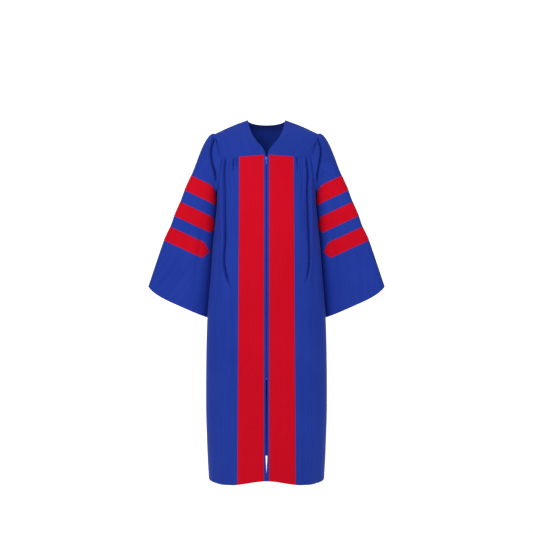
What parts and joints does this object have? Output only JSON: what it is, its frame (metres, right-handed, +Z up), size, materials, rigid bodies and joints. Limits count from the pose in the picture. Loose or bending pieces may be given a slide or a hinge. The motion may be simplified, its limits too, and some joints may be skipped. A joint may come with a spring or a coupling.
{
  "type": "graduation gown",
  "caption": "Hanging zip-front graduation gown with bell sleeves, flat yoke, contrast front bands and pointed sleeve bars, filled out as if worn.",
  "frame": {"origin": "midway between the neck ends of the two shoulder seams, level with them, where the shoulders hold the gown up", "axes": "+Z up, +Y towards the back of the gown, +X towards the gown's own left sleeve"},
  "size_m": [0.8594, 0.3569, 1.3002],
  "materials": {
    "blue_cloth": "matt royal blue polyester plain weave",
    "red_cloth": "matt red polyester plain weave",
    "zip_coil": "blue nylon coil",
    "zip_metal": "blue enamelled zinc"
  },
  "bodies": {
    "gown": {"yoke_front_left": "blue_cloth", "yoke_front_right": "blue_cloth", "yoke_back": "blue_cloth", "front_left": "blue_cloth", "front_right": "blue_cloth", "back": "blue_cloth", "sleeve_left": "blue_cloth", "sleeve_right": "blue_cloth", "zip_facing_left": "blue_cloth", "zip_facing_right": "blue_cloth", "front_band_left": "red_cloth", "front_band_right": "red_cloth", "sleeve_bar_left_1": "red_cloth", "sleeve_bar_left_2": "red_cloth", "sleeve_bar_left_3": "red_cloth", "sleeve_bar_right_1": "red_cloth", "sleeve_bar_right_2": "red_cloth", "sleeve_bar_right_3": "red_cloth", "zip_chain": "zip_coil", "zip_bottom_stop": "zip_metal", "zip_slider": "zip_metal"},
    "pull_tab": {"zip_pull_tab": "zip_metal"}
  },
  "joints": [
    {"name": "tab_swing", "type": "hinge", "parent": "gown", "child": "pull_tab", "pos_m": [0, -0.12214, -0.15785], "axis": [-1, 0, 0], "range_deg": [0, 170]}
  ]
}
